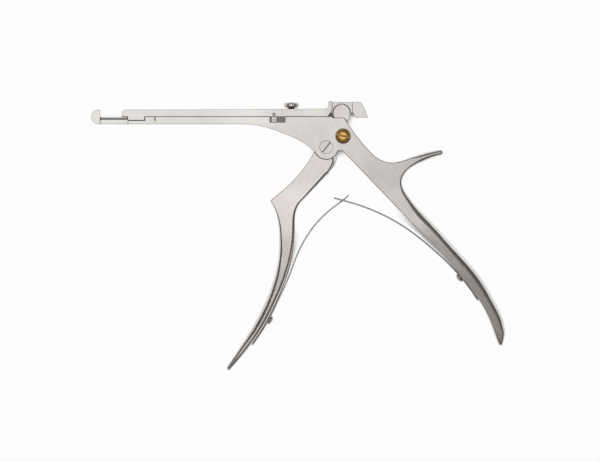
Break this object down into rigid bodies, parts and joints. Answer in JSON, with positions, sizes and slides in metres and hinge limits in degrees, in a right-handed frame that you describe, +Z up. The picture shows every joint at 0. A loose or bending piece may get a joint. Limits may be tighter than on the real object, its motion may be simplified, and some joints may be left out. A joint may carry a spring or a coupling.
{
  "type": "bone rongeur",
  "caption": "Slender sliding-shaft bone rongeur: a footplate jaw, a thumb-hooked rear handle and a squeezed front handle held open by crossed leaf springs.",
  "frame": {"origin": "middle of the resting box, on the plane that the instrument lies on", "axes": "+X from the footplate along the shafts towards the rear, +Y from the handle tips towards the shafts, +Z up out of the side that carries the screw heads"},
  "size_m": [0.2562, 0.1667, 0.013],
  "materials": {
    "satin_steel": "satin brushed stainless steel",
    "polished_steel": "turned and polished stainless steel",
    "spring_steel": "ground spring steel strip",
    "brass": "turned brass, bright"
  },
  "bodies": {
    "frame": {"frame_with_rear_handle": "satin_steel", "pivot_screw": "satin_steel", "rear_leaf_spring": "spring_steel", "rear_spring_screw": "polished_steel"},
    "slide": {"sliding_shaft": "satin_steel", "guide_key": "satin_steel", "guide_key_pin": "satin_steel"},
    "front_handle": {"front_handle": "satin_steel", "front_leaf_spring": "spring_steel", "front_spring_screw": "polished_steel"},
    "stop_screw": {"stop_screw": "brass", "stop_screw_nut": "brass"},
    "lift_knob": {"lift_knob": "polished_steel"}
  },
  "joints": [
    {"name": "handle_pivot", "type": "hinge", "parent": "frame", "child": "front_handle", "pos_m": [0.0173, 0.0548, 0.0065], "axis": [0, 0, 1], "range_deg": [0, 33.2], "stiffness_Nm_per_rad": 1.5, "springref_deg": -5.73, "deforming": ["front_leaf_spring", "rear_leaf_spring"]},
    {"name": "slide_travel", "type": "slide", "parent": "frame", "child": "slide", "axis": [-1, 0, 0], "range_m": [0, 0.01325]},
    {"name": "stop_screw_turn", "type": "hinge", "parent": "frame", "child": "stop_screw", "pos_m": [0.02765, 0.06174, 0.0065], "axis": [0, 0, 1], "range_deg": [0, 180]},
    {"name": "lift_knob_turn", "type": "hinge", "parent": "slide", "child": "lift_knob", "pos_m": [-0.0043, 0.0788, 0.0065], "axis": [0, 1, 0], "range_deg": [0, 360]}
  ],
  "couplings": [
    {"joint": "slide_travel", "follows": "handle_pivot", "m_per_rad": 0.02278}
  ]
}
